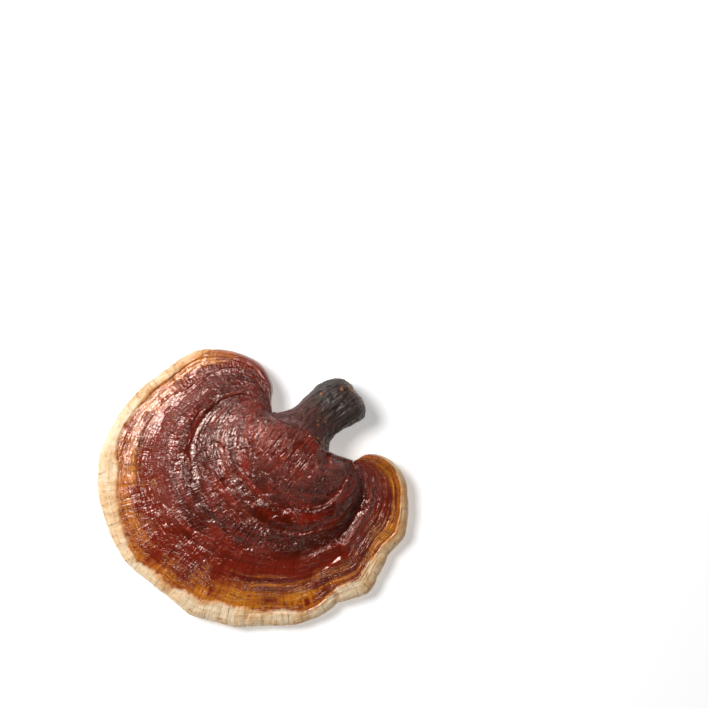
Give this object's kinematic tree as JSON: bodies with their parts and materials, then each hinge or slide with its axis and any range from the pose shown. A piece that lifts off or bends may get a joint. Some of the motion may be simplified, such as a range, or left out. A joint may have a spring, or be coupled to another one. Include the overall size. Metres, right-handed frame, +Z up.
{
  "type": "reishi mushroom",
  "caption": "Dried reishi mushroom with a lopsided kidney-shaped lacquered cap and a short stem leaving it sideways, lying cap side up.",
  "frame": {"origin": "on the surface the mushroom lies on, under the middle of its bounding box", "axes": "+X along the cap's widest direction, +Y towards the notch where the stem leaves, +Z up out of the lacquered side"},
  "size_m": [0.1354, 0.1212, 0.0304],
  "materials": {
    "crust": "lacquered red-brown crust with growth rings, orange-brown towards a matt cream margin; pale tan pores below",
    "bark": "dark purplish-brown to grey-black fibrous crust, half gloss, with small ochre flecks"
  },
  "bodies": {
    "root": {"cap": "crust", "stem": "bark"}
  },
  "joints": []
}
